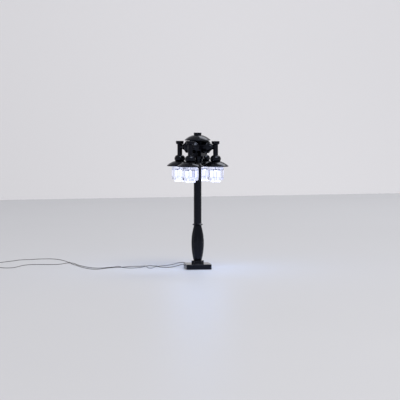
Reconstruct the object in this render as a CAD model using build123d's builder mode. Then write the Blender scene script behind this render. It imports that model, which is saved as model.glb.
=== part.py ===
from build123d import *
import math
import os

os.makedirs("parts", exist_ok=True)

# Model street lamp for a building-brick layout, in millimetres.  +Z is up, the foot stands on z = 0 with
# its centre at the origin, and the wires leave the foot at its rear, the +Y side.

# The building-brick system that every moulding is made to
PITCH = 8.0
PLATE = 3.2
BRICK = 9.6
PLAY = 0.1
STUD_R = 2.4
STUD_H = 1.7
SOCKET_R = 2.45
SOCKET_H = 1.75
SEAT_GAP = 0.05

# Post: foot, lobed collar, fluted baluster, ring, shaft and top stud, one moulding
FOOT = 2 * PITCH - 2 * PLAY
FOOT_CORNER = 1.5
FOOT_EDGE = 0.5
FOOT_WALL = 1.5
FOOT_ROOM = 2.0
TUBE_OUT = 3.25
POST_TOP = 7 * BRICK
COLLAR_TOP = 5.1
COLLAR_EASE = 0.3
COLLAR_R = 3.1
LOBE_R = 1.05
LOBE_AT = 2.85
FLUTES = 6
BARREL_FOOT_R = 2.5
BARREL_MID_R = 3.9
BARREL_HEAD_R = 2.35
BARREL_MID_Z = 16.2
RING_LOW = 26.9
RING_HIGH = 28.3
RING_R = 3.25
RING_FLAT = 0.3
FLUTE_R = 1.5
FLUTE_DEPTH = 0.5
FLUTE_SWEEP_R = 82.0
FLUTE_SWEEP = 7.4
SEAT_R = 3.0
SEAT_H = 0.8
BORE_R = 0.9
NOTCH_W = 1.3
NOTCH_H = 0.8

# Head: spacer plate, block with a stud on each side, dish cap
HEAD_TURN = -30.0
HUB_FOOT = POST_TOP + PLATE
HUB_TOP = HUB_FOOT + BRICK
HUB = PITCH - 2 * PLAY
HUB_ROOM = 4.9
HUB_ROOF = 1.2
HUB_EASE = 0.25
SPACER_R = PITCH / 2 - PLAY / 2
SPACER_NECK_R = 3.2
SPACER_NECK_H = 1.3
AXIS_Z = HUB_TOP - PITCH / 2
LEAD_BORE_R = 0.55
DISH_R = 8.0
DISH_LAND_R = 3.3
DISH_RIM = 0.5
DISH_BEVEL = 0.15
DISH_WALL = 1.2
DISH_SOCKET_OUT = 3.3
DISH_DOME_R = 12.25
DISH_HOLLOW_R = 11.0

# Arms: flange, cone, upright pipe, knob and ball nozzle, one moulding each
ARM_SIDES = ("right", "back", "left", "front")
REACH = 12.0
FLANGE_R = 3.8
FLANGE_END = 7.3
SHOULDER_R = 3.3
SHOULDER_RUN = 0.5
SHOULDER_ARC = 0.9
CONE_ARC = 6.0
CONE_END = 10.4
PIPE_R = 1.55
STUB_R = 1.35
PIPE_BORE_R = 0.6
BORE_PAST = 0.2
KNOB_R = 2.45
KNOB_LOW = 77.75
KNOB_HIGH = 79.75
KNOB_EASE = 0.3
NOZZLE_R = 2.85
NOZZLE_TOP = 71.0
NOZZLE_ARC = 2.38

# Lamps: dish shade, clear globe, light-emitting diode on its board
SHADE_TOP = POST_TOP - SEAT_GAP
GLOBE_TOP = SHADE_TOP - PLATE
GLOBE_H = BRICK
GLOBE_R = 5.1
GLOBE_SHOULDER = 1.6
GLOBE_NECK_R = 3.25
GLOBE_NECK_H = 1.2
GLOBE_ROOM_R = 3.5
GLOBE_ROOF = 1.5
GLOBE_MOUTH_H = 2.4
GLOBE_SLOPE = 0.8
BOARD_X = 3.2
BOARD_Y = 2.0
BOARD_H = 0.5
BOARD_CORNER = 0.2
CHIP_X = 1.6
CHIP_Y = 0.8
CHIP_H = 0.6
CHIP_EASE = 0.12

# Wires: enamelled copper
WIRE_R = 0.175
WIRE_AT = 0.3
WIRE_BEND = 1.0
LEAD_R = 0.15
LEAD_AT = 0.2
LEAD_BEND = 0.32
SLEEVE_R = 0.6
SLEEVE_LOW = 72.6
SLEEVE_HIGH = 75.0
SLEEVE_AT = 0.9
SLEEVE_EASE = 0.12
CLUSTER_R = 0.33
CROSS_Z = 0.62

# The lead's far end: coil, tie and plug
COIL_X = -129.8
COIL_Y = 40.6
COIL_IN = 1.45
COIL_OUT = 3.5
COIL_LOW = 0.2
COIL_HIGH = 1.7
COIL_TOP_WIRE = 1.485
COIL_EASE = 0.4
TIE_W = 1.2
TIE_T = 0.18
TIE_CORNER = 0.5
TIE_SLACK = 0.15
PLUG_X = -133.2
PLUG_Y = 51.0
PLUG_W = 3.4
PLUG_L = 4.4
PLUG_H = 1.9
PLUG_PITCH = 1.0
PLUG_CORNER = 0.25
LATCH_H = 0.3
CHAMBER_W = 0.7
CHAMBER_H = 0.9
PIN_W = 0.4
PIN_OUT = 1.6
PIN_EASE = 0.1


def keep(made, name):
    """Names a finished piece and writes it out."""
    made.label = name
    export_step(made, f"parts/{name}.step")


def corner_radii(points):
    """The largest arc that each corner of a route has room for."""
    radii = []
    for before, here, after in zip(points, points[1:], points[2:]):
        run_in = Vector(*here) - Vector(*before)
        run_out = Vector(*after) - Vector(*here)
        turn = math.radians(run_in.get_angle(run_out))
        shorter = min(run_in.length, run_out.length)
        radii.append(0.45 * shorter / math.tan(turn / 2))
    return radii


def wire_along(points, radius):
    """A round wire that follows a route, with an arc at each corner."""
    with BuildPart() as wire:
        with BuildLine() as route:
            FilletPolyline(*points, radius=corner_radii(points))
        with BuildSketch(Plane(origin=route.line @ 0, z_dir=route.line % 0)):
            Circle(radius)
        sweep()
    length = sum(edge.length for edge in route.edges())
    share = wire.part.volume / (math.pi * radius**2 * length)
    tightest = min(corner_radii(points))
    print(f"wire {length:.1f} mm long, tightest arc {tightest:.2f}, volume share {share:.4f}")
    return wire.part


def gather(pieces):
    """Several separate solids as one node."""
    with BuildPart() as group:
        for piece in pieces:
            add(piece)
    return group.part


# ---- Post ----------------------------------------------------------------------------------------------
with BuildPart() as lamp_post:
    with BuildSketch():
        RectangleRounded(FOOT, FOOT, FOOT_CORNER)
    extrude(amount=PLATE)
    fillet(lamp_post.faces().sort_by(Axis.Z)[-1].edges(), FOOT_EDGE)
    with BuildSketch():
        RectangleRounded(FOOT - 2 * FOOT_WALL, FOOT - 2 * FOOT_WALL, FOOT_CORNER - FOOT_WALL / 2)
    extrude(amount=FOOT_ROOM, mode=Mode.SUBTRACT)
    with BuildSketch():
        Circle(TUBE_OUT)
    extrude(amount=FOOT_ROOM + FOOT_EDGE)
    with BuildSketch(Plane.XY.offset(PLATE)):
        Circle(COLLAR_R)
        with PolarLocations(LOBE_AT, FLUTES):
            Circle(LOBE_R)
    extrude(amount=COLLAR_TOP - PLATE)
    fillet(lamp_post.faces().filter_by(Axis.Z).sort_by(Axis.Z)[-1].edges(), COLLAR_EASE)
    # the turned outline above the collar: barrel, pointed ring, shaft, seat and stud
    with BuildSketch(Plane.XZ):
        with BuildLine():
            Polyline((0, PLATE), (BARREL_FOOT_R, PLATE), (BARREL_FOOT_R, COLLAR_TOP))
            ThreePointArc(
                (BARREL_FOOT_R, COLLAR_TOP),
                (BARREL_MID_R, BARREL_MID_Z),
                (BARREL_HEAD_R, RING_LOW),
            )
            ring_mid = (RING_LOW + RING_HIGH) / 2
            Polyline(
                (BARREL_HEAD_R, RING_LOW),
                (RING_R, ring_mid - RING_FLAT / 2),
                (RING_R, ring_mid + RING_FLAT / 2),
                (STUD_R, RING_HIGH),
                (STUD_R, POST_TOP - 2 * SEAT_H),
                (SEAT_R, POST_TOP - SEAT_H),
                (SEAT_R, SHADE_TOP),
                (STUD_R, SHADE_TOP),
                (STUD_R, POST_TOP + STUD_H),
                (0, POST_TOP + STUD_H),
                (0, PLATE),
            )
        make_face()
    revolve(axis=Axis.Z)
    # each flute, between two lobes, is a round cutter swung on a long radius, so it dies out at the ends
    for k in range(FLUTES):
        around = Plane.XY.rotated((0, 0, 360 / FLUTES * (k + 0.5))).offset(BARREL_MID_Z)
        with BuildSketch(around):
            with Locations((BARREL_MID_R + FLUTE_R - FLUTE_DEPTH, 0)):
                Circle(FLUTE_R)
        hub_point = around.from_local_coords(Vector(BARREL_MID_R - FLUTE_SWEEP_R, 0, 0))
        swing = Axis(hub_point, around.y_dir)
        revolve(axis=swing, revolution_arc=FLUTE_SWEEP, mode=Mode.SUBTRACT)
        with BuildSketch(around):
            with Locations((BARREL_MID_R + FLUTE_R - FLUTE_DEPTH, 0)):
                Circle(FLUTE_R)
        revolve(axis=swing, revolution_arc=-FLUTE_SWEEP, mode=Mode.SUBTRACT)
    # wire bore from the stud to the foot, and the wires' way out under the rear wall
    with BuildSketch():
        Circle(STUD_R)
    extrude(amount=FOOT_ROOM, mode=Mode.SUBTRACT)
    with BuildSketch():
        Circle(BORE_R)
    extrude(amount=POST_TOP + STUD_H, mode=Mode.SUBTRACT)
    with BuildSketch():
        with Locations((0, FOOT / 4 + STUD_R / 2)):
            Rectangle(NOTCH_W, FOOT / 2 + 1 - STUD_R / 2)
    extrude(amount=NOTCH_H, mode=Mode.SUBTRACT)
keep(lamp_post.part, "lamp_post")

# ---- Head: spacer plate and block, turned on the post's stud ---------------------------------------------
with BuildPart() as spacer_plate:
    with BuildSketch(Plane.XY.offset(POST_TOP)):
        Circle(SPACER_NECK_R)
    extrude(amount=SPACER_NECK_H)
    with BuildSketch(Plane.XY.offset(POST_TOP + SPACER_NECK_H)):
        Circle(SPACER_R)
    extrude(amount=PLATE - SPACER_NECK_H)
    with BuildSketch(Plane.XY.offset(HUB_FOOT)):
        Circle(STUD_R)
    extrude(amount=STUD_H)
    with BuildSketch(Plane.XY.offset(POST_TOP)):
        Circle(SOCKET_R)
    extrude(amount=SOCKET_H, mode=Mode.SUBTRACT)
    with BuildSketch(Plane.XY.offset(POST_TOP)):
        Circle(BORE_R)
    extrude(amount=PLATE + STUD_H, mode=Mode.SUBTRACT)
keep(spacer_plate.part, "spacer_plate")

hub_plane = Plane.XY.offset(HUB_FOOT).rotated((0, 0, HEAD_TURN))
arm_angles = [HEAD_TURN + 90 * k for k in range(4)]


def side_plane(angle, distance):
    """A plane across an arm's axis, facing outwards, with its local Y up."""
    out = Vector(math.cos(math.radians(angle)), math.sin(math.radians(angle)), 0)
    return Plane(origin=out * distance + Vector(0, 0, AXIS_Z), x_dir=Vector(-out.Y, out.X, 0), z_dir=out)


with BuildPart() as hub_block:
    with BuildSketch(hub_plane):
        Rectangle(HUB, HUB)
    extrude(amount=BRICK)
    fillet(hub_block.edges().filter_by(Axis.Z), HUB_EASE)
    with BuildSketch(hub_plane.offset(BRICK)):
        Circle(STUD_R)
    extrude(amount=STUD_H)
    for angle in arm_angles:
        with BuildSketch(side_plane(angle, HUB / 2)):
            Circle(STUD_R)
        extrude(amount=STUD_H)
    with BuildSketch(hub_plane):
        Rectangle(HUB_ROOM, HUB_ROOM)
    extrude(amount=BRICK - HUB_ROOF, mode=Mode.SUBTRACT)
    for angle in arm_angles:
        with BuildSketch(side_plane(angle, HUB_ROOM / 4)):
            Circle(LEAD_BORE_R)
        extrude(amount=HUB / 2 + STUD_H, mode=Mode.SUBTRACT)
keep(hub_block.part, "hub_block")


def dish_outline(rim_z):
    """Half the section of a round dish that stands on its rim, with a stud on top and a socket below."""
    land_z = rim_z + PLATE
    with BuildSketch(Plane.XZ, mode=Mode.PRIVATE) as half:
        with BuildLine():
            RadiusArc((DISH_LAND_R, land_z), (DISH_R, rim_z + DISH_RIM), DISH_DOME_R)
            Polyline(
                (DISH_R, rim_z + DISH_RIM),
                (DISH_R, rim_z + DISH_BEVEL),
                (DISH_R - DISH_BEVEL, rim_z),
                (DISH_R - DISH_RIM, rim_z),
            )
            RadiusArc((DISH_R - DISH_RIM, rim_z), (DISH_SOCKET_OUT, land_z - DISH_WALL), -DISH_HOLLOW_R)
            Polyline(
                (DISH_SOCKET_OUT, land_z - DISH_WALL),
                (DISH_SOCKET_OUT, rim_z),
                (SOCKET_R, rim_z),
                (SOCKET_R, rim_z + SOCKET_H),
                (0, rim_z + SOCKET_H),
                (0, land_z + STUD_H),
                (STUD_R, land_z + STUD_H),
                (STUD_R, land_z),
                (DISH_LAND_R, land_z),
            )
        make_face()
    return half.sketch


cap_outline = dish_outline(HUB_TOP + SEAT_GAP)
with BuildPart() as cap_dish:
    add(cap_outline)
    revolve(axis=Axis.Z)
keep(cap_dish.part, "cap_dish")

# ---- Arms and lamps ------------------------------------------------------------------------------------
shade_outline = dish_outline(GLOBE_TOP)


def build_arm():
    """One arm along +X: socket flange, cone, upright pipe with a knob on top and a ball nozzle below."""
    with BuildPart() as arm:
        with BuildSketch(Plane.XZ):
            with BuildLine():
                Polyline(
                    (HUB / 2 + SEAT_GAP, AXIS_Z),
                    (HUB / 2 + SEAT_GAP, AXIS_Z + FLANGE_R),
                    (FLANGE_END, AXIS_Z + FLANGE_R),
                )
                shoulder = (FLANGE_END + SHOULDER_RUN, AXIS_Z + SHOULDER_R)
                RadiusArc((FLANGE_END, AXIS_Z + FLANGE_R), shoulder, SHOULDER_ARC)
                RadiusArc(shoulder, (CONE_END, AXIS_Z + STUB_R), -CONE_ARC)
                Polyline(
                    (CONE_END, AXIS_Z + STUB_R),
                    (REACH, AXIS_Z + STUB_R),
                    (REACH, AXIS_Z),
                    (HUB / 2 + SEAT_GAP, AXIS_Z),
                )
            make_face()
        revolve(axis=Axis((0, 0, AXIS_Z), (1, 0, 0)))
        # pipe, knob and ball, turned about the pipe's own axis
        with BuildSketch(Plane.XZ):
            with BuildLine():
                nozzle_rim = (REACH + NOZZLE_R, POST_TOP)
                Line((REACH, POST_TOP), nozzle_rim)
                RadiusArc(nozzle_rim, (REACH + PIPE_R, NOZZLE_TOP), -NOZZLE_ARC)
                Polyline(
                    (REACH + PIPE_R, NOZZLE_TOP),
                    (REACH + PIPE_R, KNOB_LOW - KNOB_EASE),
                    (REACH + KNOB_R, KNOB_LOW + KNOB_EASE),
                    (REACH + KNOB_R, KNOB_HIGH - KNOB_EASE),
                    (REACH + KNOB_R - KNOB_EASE, KNOB_HIGH),
                    (REACH, KNOB_HIGH),
                    (REACH, POST_TOP),
                )
            make_face()
        revolve(axis=Axis((REACH, 0, 0), (0, 0, 1)))
        # stud sockets and the bores that the two lamp leads run through
        with BuildSketch(side_plane(0, HUB / 2)):
            Circle(SOCKET_R)
        extrude(amount=SOCKET_H + SEAT_GAP, mode=Mode.SUBTRACT)
        with BuildSketch(side_plane(0, HUB / 2)):
            Circle(LEAD_BORE_R)
        extrude(amount=REACH - HUB / 2 + BORE_PAST, mode=Mode.SUBTRACT)
        with BuildSketch(Plane.XY.offset(POST_TOP)):
            with Locations((REACH, 0)):
                Circle(SOCKET_R)
        extrude(amount=SOCKET_H, mode=Mode.SUBTRACT)
        with BuildSketch(Plane.XY.offset(POST_TOP)):
            with Locations((REACH, 0)):
                Circle(PIPE_BORE_R)
        extrude(amount=AXIS_Z - POST_TOP + BORE_PAST, mode=Mode.SUBTRACT)
    return arm.part


def build_shade():
    """One dish shade on the lamp's own axis."""
    with BuildPart() as shade:
        add(shade_outline)
        revolve(axis=Axis.Z)
        with BuildSketch(Plane.XY.offset(GLOBE_TOP)):
            Circle(LEAD_BORE_R)
        extrude(amount=PLATE + STUD_H, mode=Mode.SUBTRACT)
    return shade.part


def build_globe():
    """One clear globe: a barrel with rounded shoulders, a stud above, a neck and an open mouth below."""
    foot_z = GLOBE_TOP - GLOBE_H
    body_z = foot_z + GLOBE_NECK_H
    room_z = foot_z + GLOBE_MOUTH_H
    with BuildPart() as globe:
        with BuildSketch(Plane.XY.offset(body_z)):
            Circle(GLOBE_R)
        extrude(amount=GLOBE_TOP - SEAT_GAP - body_z)
        fillet(globe.edges().filter_by(GeomType.CIRCLE), GLOBE_SHOULDER)
        with BuildSketch(Plane.XY.offset(foot_z)):
            Circle(GLOBE_NECK_R)
        extrude(amount=GLOBE_NECK_H)
        with BuildSketch(Plane.XY.offset(GLOBE_TOP - SEAT_GAP)):
            Circle(STUD_R)
        extrude(amount=STUD_H)
        with BuildSketch(Plane.XZ):
            with BuildLine():
                Polyline(
                    (0, foot_z),
                    (SOCKET_R, foot_z),
                    (SOCKET_R, room_z),
                    (GLOBE_ROOM_R, room_z + GLOBE_SLOPE),
                    (GLOBE_ROOM_R, GLOBE_TOP - GLOBE_ROOF - GLOBE_SLOPE),
                    (GLOBE_ROOM_R - GLOBE_SLOPE, GLOBE_TOP - GLOBE_ROOF),
                    (0, GLOBE_TOP - GLOBE_ROOF),
                    (0, foot_z),
                )
            make_face()
        revolve(axis=Axis.Z, mode=Mode.SUBTRACT)
        with BuildSketch(Plane.XY.offset(GLOBE_TOP - GLOBE_ROOF)):
            Circle(LEAD_BORE_R)
        extrude(amount=GLOBE_ROOF + STUD_H, mode=Mode.SUBTRACT)
    return globe.part


def build_board():
    """The diode's board, glued under the globe's roof."""
    with BuildPart() as board:
        with BuildSketch(Plane.XY.offset(GLOBE_TOP - GLOBE_ROOF - BOARD_H)):
            RectangleRounded(BOARD_X, BOARD_Y, BOARD_CORNER)
        extrude(amount=BOARD_H)
    return board.part


def build_chip():
    """The light-emitting diode, soldered under its board."""
    with BuildPart() as chip:
        with BuildSketch(Plane.XY.offset(GLOBE_TOP - GLOBE_ROOF - BOARD_H - CHIP_H)):
            Rectangle(CHIP_X, CHIP_Y)
        extrude(amount=CHIP_H)
        chamfer(chip.faces().sort_by(Axis.Z)[0].edges(), CHIP_EASE)
    return chip.part


def build_arm_leads():
    """The pair of leads inside an arm: level through the flange and cone, then down the pipe."""
    leads = []
    for side in (1, -1):
        level = AXIS_Z + side * LEAD_AT
        drop = REACH + side * LEAD_AT
        start = HUB / 2 + STUD_H + SEAT_GAP
        bottom = POST_TOP + STUD_H + SEAT_GAP
        route = [(start, 0, level), (drop, 0, level), (drop, 0, bottom)]
        with BuildPart() as lead:
            with BuildLine() as line:
                FilletPolyline(*route, radius=LEAD_BEND + side * LEAD_AT / 2)
            with BuildSketch(Plane(origin=line.line @ 0, z_dir=line.line % 0)):
                Circle(LEAD_R)
            sweep()
        leads.append(lead.part)
    return gather(leads)


def build_lamp_leads():
    """The pair of leads from the arm's nozzle down through shade and globe stud to the board."""
    with BuildPart() as pair:
        with BuildSketch(Plane.XY.offset(GLOBE_TOP - GLOBE_ROOF)):
            with Locations((LEAD_AT, 0), (-LEAD_AT, 0)):
                Circle(LEAD_R)
        extrude(amount=GLOBE_ROOF + PLATE + STUD_H)
    return pair.part


arm_model = build_arm()
arm_leads_model = build_arm_leads()
lamp_models = {
    "shade": build_shade(),
    "globe": build_globe(),
    "led_board": build_board(),
    "led_chip": build_chip(),
    "lamp_leads": build_lamp_leads(),
}
for side, angle in zip(ARM_SIDES, arm_angles):
    turn = Rot(0, 0, angle)
    keep(turn * arm_model, f"arm_{side}")
    keep(turn * arm_leads_model, f"arm_leads_{side}")
    for name, model in lamp_models.items():
        keep(turn * (Pos(REACH, 0, 0) * model), f"{name}_{side}")

# ---- Wiring inside the head and the post -----------------------------------------------------------------
hub_leads = []
for name, side in (("a", 1), ("b", -1)):
    centre = hub_plane.from_local_coords(Vector(side * SLEEVE_AT, side * SLEEVE_AT, 0))
    with BuildPart() as sleeve:
        with BuildSketch(Plane.XY.offset(SLEEVE_LOW)):
            with Locations((centre.X, centre.Y)):
                Circle(SLEEVE_R)
        extrude(amount=SLEEVE_HIGH - SLEEVE_LOW)
        fillet(sleeve.edges().filter_by(GeomType.CIRCLE), SLEEVE_EASE)
    keep(sleeve.part, f"splice_sleeve_{name}")
    level = AXIS_Z + side * LEAD_AT
    for angle in arm_angles:
        inner = side_plane(angle, HUB_ROOM / 2 + 0.2).origin
        outer = side_plane(angle, HUB / 2 + STUD_H).origin
        away = Vector(inner.X - centre.X, inner.Y - centre.Y, 0).normalized() * CLUSTER_R
        foot = (centre.X + away.X, centre.Y + away.Y)
        route = [(*foot, SLEEVE_HIGH), (*foot, level), (inner.X, inner.Y, level), (outer.X, outer.Y, level)]
        run_in = Vector(*route[2]) - Vector(*route[1])
        run_out = Vector(*route[3]) - Vector(*route[2])
        radii = [LEAD_BEND, LEAD_BEND if run_in.get_angle(run_out) > 1 else 0]
        with BuildPart() as lead:
            with BuildLine() as line:
                FilletPolyline(*route, radius=radii)
            with BuildSketch(Plane(origin=line.line @ 0, z_dir=line.line % 0)):
                Circle(LEAD_R)
            sweep()
        hub_leads.append(lead.part)
keep(gather(hub_leads), "hub_leads")

for name, side in (("a", 1), ("b", -1)):
    route = [
        (side * WIRE_AT, 0, HUB_FOOT - SEAT_GAP),
        (side * WIRE_AT, 0, WIRE_R),
        (side * WIRE_AT, FOOT / 2, WIRE_R),
    ]
    with BuildPart() as trunk:
        with BuildLine() as line:
            FilletPolyline(*route, radius=WIRE_BEND)
        with BuildSketch(Plane(origin=line.line @ 0, z_dir=line.line % 0)):
            Circle(WIRE_R)
        sweep()
    keep(trunk.part, f"trunk_wire_{name}")

# ---- The two free wires, which lie loose on whatever the lamp stands on ------------------------------
LOW = WIRE_R
HIGH = CROSS_Z
route_a = [
    (0.3, 7.9, LOW),
    (0.3, 11.2, LOW),
    (0.1, 16.8, LOW),
    (-0.7, 24.0, LOW),
    (-1.0, 32.0, LOW),
    (-2.5, 38.6, LOW),
    (-5.4, 40.6, LOW),
    (-8.2, 36.6, LOW),
    (-11.4, 29.4, LOW),
    (-14.8, 23.0, LOW),
    (-19.0, 19.8, LOW),
    (-22.6, 17.4, LOW),
    (-25.5, 12.4, LOW),
    (-27.0, 8.4, LOW),
    (-27.9, 4.9, LOW),
    (-30.2, 5.2, LOW),
    (-30.4, 9.4, LOW),
    (-30.7, 12.9, HIGH),
    (-31.6, 15.4, HIGH),
    (-33.6, 18.0, LOW),
    (-38.6, 18.4, LOW),
    (-43.4, 16.2, LOW),
    (-48.6, 12.4, LOW),
    (-54.0, 10.8, LOW),
    (-58.8, 5.8, LOW),
    (-63.0, 2.0, LOW),
    (-66.6, 4.4, LOW),
    (-69.8, 12.0, LOW),
    (-72.4, 22.0, LOW),
    (-73.8, 30.6, LOW),
    (-75.8, 38.0, LOW),
    (-76.3, 43.0, LOW),
    (-76.8, 45.8, HIGH),
    (-77.1, 48.2, HIGH),
    (-77.6, 51.6, LOW),
    (-78.2, 56.6, LOW),
    (-79.8, 64.0, LOW),
    (-82.4, 72.0, LOW),
    (-87.2, 78.0, LOW),
    (-94.0, 78.2, LOW),
    (-101.0, 74.4, LOW),
    (-107.4, 73.8, LOW),
    (-112.8, 66.6, LOW),
    (-119.4, 58.6, LOW),
    (-124.4, 52.4, LOW),
    (-126.4, 47.4, LOW),
    (-126.9, 44.6, 0.3),
    (-126.85, 42.5, COIL_LOW + WIRE_R),
]
route_b = [
    (-0.3, 7.9, LOW),
    (-0.4, 11.0, LOW),
    (-1.5, 16.2, LOW),
    (-2.1, 22.4, LOW),
    (-3.6, 26.2, LOW),
    (-6.2, 26.8, LOW),
    (-8.2, 23.6, LOW),
    (-10.4, 17.6, LOW),
    (-14.2, 11.0, LOW),
    (-17.8, 8.0, LOW),
    (-21.2, 9.4, LOW),
    (-22.9, 11.6, LOW),
    (-23.8, 13.6, HIGH),
    (-24.4, 15.6, HIGH),
    (-25.4, 18.2, LOW),
    (-27.2, 21.2, LOW),
    (-29.4, 20.4, LOW),
    (-31.3, 17.0, LOW),
    (-32.8, 12.6, LOW),
    (-36.2, 8.8, LOW),
    (-40.6, 6.8, LOW),
    (-44.4, 9.2, LOW),
    (-46.2, 11.8, LOW),
    (-47.3, 13.5, HIGH),
    (-48.8, 14.8, HIGH),
    (-51.4, 15.2, LOW),
    (-55.2, 13.2, LOW),
    (-60.0, 9.8, LOW),
    (-64.2, 10.6, LOW),
    (-67.6, 16.4, LOW),
    (-70.6, 24.6, LOW),
    (-73.0, 33.6, LOW),
    (-73.8, 41.0, LOW),
    (-74.8, 45.8, LOW),
    (-77.6, 47.6, LOW),
    (-80.4, 44.8, LOW),
    (-82.8, 39.4, LOW),
    (-87.2, 36.6, LOW),
    (-95.2, 38.6, LOW),
    (-102.6, 39.6, LOW),
    (-107.4, 35.2, LOW),
    (-110.4, 27.4, LOW),
    (-113.4, 20.6, LOW),
    (-117.6, 18.2, LOW),
    (-122.0, 21.4, LOW),
    (-126.6, 26.6, LOW),
    (-130.8, 31.4, LOW),
    (-132.6, 35.0, LOW),
    (-132.8, 37.2, 0.3),
    (-132.75, 38.7, COIL_LOW + WIRE_R),
]
tail_a = [
    (-133.12, 41.8, COIL_TOP_WIRE),
    (-133.3, 44.4, 1.1),
    (-133.7, 47.8, 0.75),
    (PLUG_X - PLUG_PITCH / 2, PLUG_Y, PLUG_H / 2),
]
tail_b = [
    (-132.75, 42.5, COIL_TOP_WIRE),
    (-132.5, 45.0, 1.1),
    (-132.6, 48.0, 0.75),
    (PLUG_X + PLUG_PITCH / 2, PLUG_Y, PLUG_H / 2),
]
keep(gather([wire_along(route_a, WIRE_R), wire_along(tail_a, WIRE_R)]), "lead_wire_a")
keep(gather([wire_along(route_b, WIRE_R), wire_along(tail_b, WIRE_R)]), "lead_wire_b")

with BuildPart() as wire_coil:
    with BuildSketch(Plane.XY.offset(COIL_LOW)):
        with Locations((COIL_X, COIL_Y)):
            Circle(COIL_OUT)
            Circle(COIL_IN, mode=Mode.SUBTRACT)
    extrude(amount=COIL_HIGH - COIL_LOW)
    fillet(wire_coil.edges().filter_by(GeomType.CIRCLE), COIL_EASE)
keep(wire_coil.part, "wire_coil")

with BuildPart() as coil_tie:
    tie_middle = COIL_Y - (COIL_IN + COIL_OUT) / 2
    tie_room = COIL_OUT - COIL_IN + TIE_SLACK
    with BuildSketch(Plane.YZ.offset(COIL_X - TIE_W / 2)):
        with Locations((tie_middle, (COIL_LOW + COIL_HIGH) / 2)):
            RectangleRounded(tie_room + 2 * TIE_T, COIL_HIGH - COIL_LOW + 2 * TIE_T, TIE_CORNER)
            RectangleRounded(tie_room, COIL_HIGH - COIL_LOW, TIE_CORNER - TIE_T, mode=Mode.SUBTRACT)
    extrude(amount=TIE_W)
keep(coil_tie.part, "coil_tie")

with BuildPart() as plug_housing:
    with BuildSketch():
        with Locations((PLUG_X, PLUG_Y + PLUG_L / 2)):
            Rectangle(PLUG_W, PLUG_L)
    extrude(amount=PLUG_H)
    fillet(plug_housing.edges().filter_by(Axis.Z), PLUG_CORNER)
    # a latch rib along the top, and a contact chamber for each pin
    with BuildSketch(Plane.XY.offset(PLUG_H)):
        with Locations((PLUG_X, PLUG_Y + PLUG_L / 2)):
            Rectangle(PLUG_PITCH, PLUG_L / 2)
    extrude(amount=LATCH_H)
    for side in (1, -1):
        mouth = (PLUG_X + side * PLUG_PITCH / 2, PLUG_Y + PLUG_L, PLUG_H / 2)
        with BuildSketch(Plane(origin=mouth, z_dir=(0, -1, 0))):
            Rectangle(CHAMBER_W, CHAMBER_H)
        extrude(amount=PLUG_L / 2, mode=Mode.SUBTRACT)
keep(plug_housing.part, "plug_housing")

pins = []
for side in (1, -1):
    with BuildPart() as pin:
        root = (PLUG_X + side * PLUG_PITCH / 2, PLUG_Y + PLUG_L / 2, PLUG_H / 2)
        with BuildSketch(Plane(origin=root, z_dir=(0, 1, 0))):
            Rectangle(PIN_W, PIN_W)
        extrude(amount=PLUG_L / 2 + PIN_OUT)
        chamfer(pin.faces().sort_by(Axis.Y)[-1].edges(), PIN_EASE)
    pins.append(pin.part)
keep(gather(pins), "plug_pins")
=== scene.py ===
import math

import bmesh
import bpy
from mathutils import Matrix, Vector


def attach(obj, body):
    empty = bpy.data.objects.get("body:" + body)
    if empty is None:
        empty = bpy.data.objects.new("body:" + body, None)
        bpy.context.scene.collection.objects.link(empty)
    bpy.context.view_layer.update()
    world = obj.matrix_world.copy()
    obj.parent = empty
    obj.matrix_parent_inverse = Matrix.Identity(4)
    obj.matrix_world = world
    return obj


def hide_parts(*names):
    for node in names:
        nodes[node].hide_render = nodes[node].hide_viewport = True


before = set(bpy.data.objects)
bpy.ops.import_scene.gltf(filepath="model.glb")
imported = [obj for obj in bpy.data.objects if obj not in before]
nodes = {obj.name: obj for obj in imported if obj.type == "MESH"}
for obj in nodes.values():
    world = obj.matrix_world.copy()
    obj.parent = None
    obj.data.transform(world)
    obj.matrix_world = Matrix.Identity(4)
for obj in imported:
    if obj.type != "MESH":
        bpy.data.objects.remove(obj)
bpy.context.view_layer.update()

# ---- Camera ---------------------------------------------------------------------------------------------
# A long lens nearly a metre back, a little above the lamp head and dipped slightly, so that the table
# runs out behind the lamp to its far edge.
CAMERA_AT = Vector((-0.14115, -0.98999, 0.098))
CAMERA_TURN = math.radians(8.2)
CAMERA_DIP = math.radians(3.153)
LENS = 144.45

lens = bpy.data.cameras.new("long_lens")
lens.lens = LENS
camera = bpy.data.objects.new("camera", lens)
sight = Vector((
    math.sin(CAMERA_TURN) * math.cos(CAMERA_DIP),
    math.cos(CAMERA_TURN) * math.cos(CAMERA_DIP),
    -math.sin(CAMERA_DIP),
))
camera.location = CAMERA_AT
camera.rotation_mode = "QUATERNION"
camera.rotation_quaternion = sight.to_track_quat("-Z", "Y")
bpy.context.scene.collection.objects.link(camera)
bpy.context.scene.camera = camera

# ---- Free wires -----------------------------------------------------------------------------------------
# Two enamelled copper wires, 0.35 mm thick and about 350 mm long, leave the foot through its rear notch and
# lie loose on the table.  What isn't needed is wound into one small coil, and both end in the plug.
MM = 0.001
WIRE_D = 0.35 * MM
LOW = WIRE_D / 2
HIGH = 0.62 * MM
FIRST_TURN = 0.375 * MM
TURN_RISE = 0.37 * MM
LAST_TURN = FIRST_TURN + 3 * TURN_RISE
COIL_AT = Vector((-129.8, 40.6)) * MM
COIL_R = 2.95 * MM
COIL_PITCH = 0.74 * MM
COIL_POINTS = 16
TURNS_A = (1.25, 1.25, 1.25, 1.75)
TURNS_B = (1.75, 1.75, 1.75, 1.75)

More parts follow.
